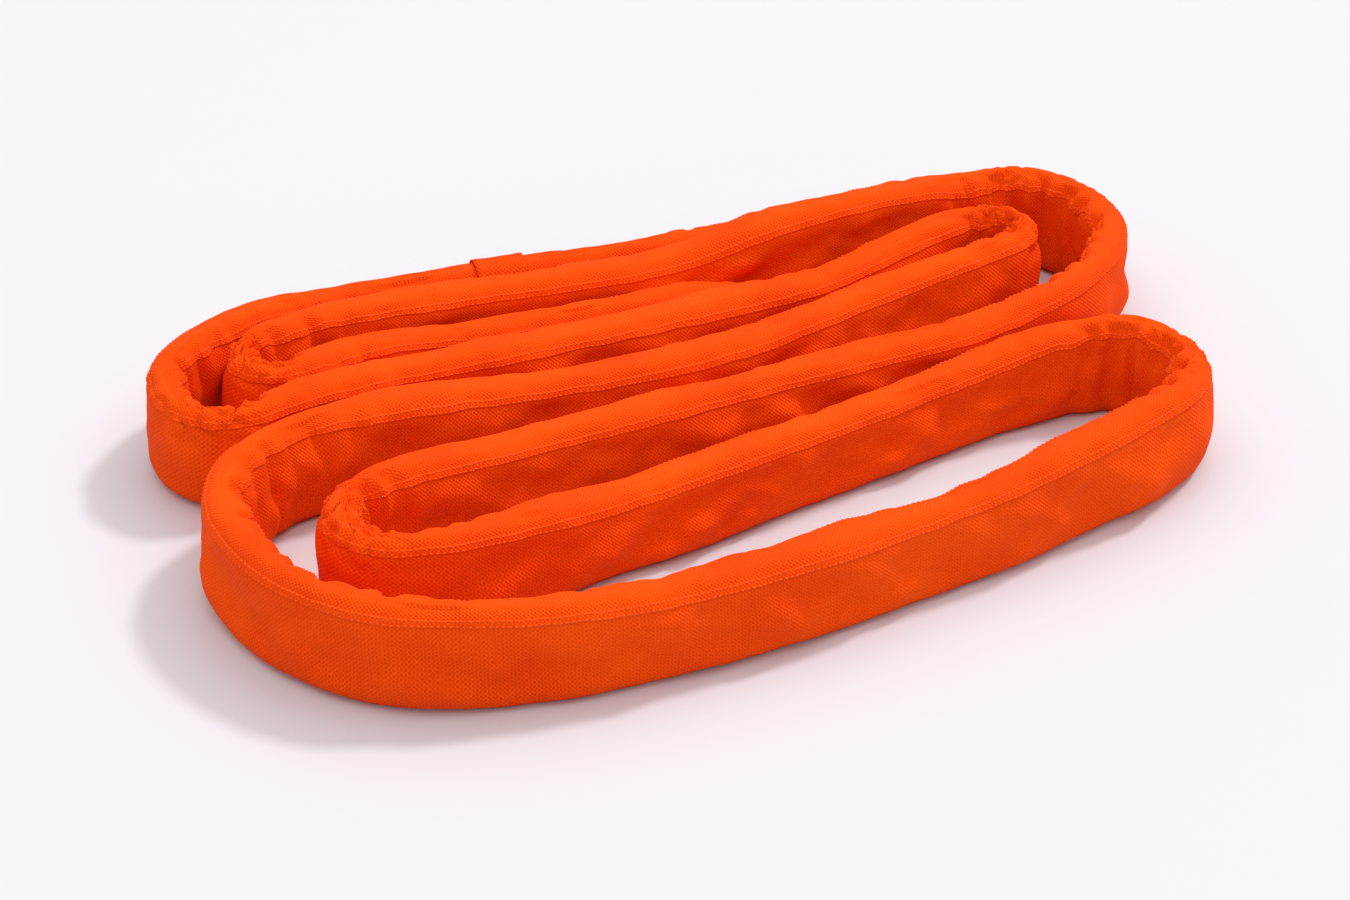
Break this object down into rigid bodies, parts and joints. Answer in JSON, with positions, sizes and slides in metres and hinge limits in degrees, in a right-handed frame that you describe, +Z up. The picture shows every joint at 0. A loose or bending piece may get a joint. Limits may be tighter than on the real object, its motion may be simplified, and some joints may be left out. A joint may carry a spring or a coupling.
{
  "type": "round sling",
  "caption": "Endless textile round sling with a woven tubular jacket over a yarn core, laid down on edge in long flat turns.",
  "frame": {"origin": "on the floor, under the middle of the laid sling's bounding box", "axes": "+X along the long runs, +Y across them towards the rearmost run, +Z up"},
  "size_m": [0.8417, 0.5297, 0.0975],
  "materials": {
    "jacket_cloth": "coarse plain weave, matt, saturated orange",
    "liner_cloth": "undyed woven liner",
    "core_yarn": "undyed parallel yarn",
    "tie_yarn": "undyed tie",
    "core_tape": "adhesive tape",
    "seam_cloth": "felled edge of the same cloth",
    "seam_thread": "lock stitch in matching thread",
    "cuff_cloth": "sleeve of the same cloth over the jacket's ends",
    "label_webbing": "narrow woven tape",
    "label_thread": "stitches through the label's tape",
    "label_film": "blank blue label, no lettering"
  },
  "bodies": {
    "sling": {"outer_cover": "jacket_cloth", "inner_cover": "liner_cloth", "core_hank_1": "core_yarn", "core_hank_2": "core_yarn", "core_hank_3": "core_yarn", "core_hank_4": "core_yarn", "core_hank_5": "core_yarn", "core_ties": "tie_yarn", "yarn_end_tape": "core_tape", "left_seam_band": "seam_cloth", "left_seam_outer_thread": "seam_thread", "left_seam_inner_thread": "seam_thread", "right_seam_band": "seam_cloth", "right_seam_outer_thread": "seam_thread", "right_seam_inner_thread": "seam_thread", "closure_cuff": "cuff_cloth", "closure_stitches": "seam_thread", "label_tab": "label_webbing", "label_tab_stitches": "label_thread"},
    "label": {"label_flap": "label_film"}
  },
  "joints": [
    {"name": "label_swing", "type": "hinge", "parent": "sling", "child": "label", "pos_m": [-0.02517, 0.24372, 0.049], "axis": [0.9839, -0.1789, 0], "range_deg": [0, 110]}
  ]
}
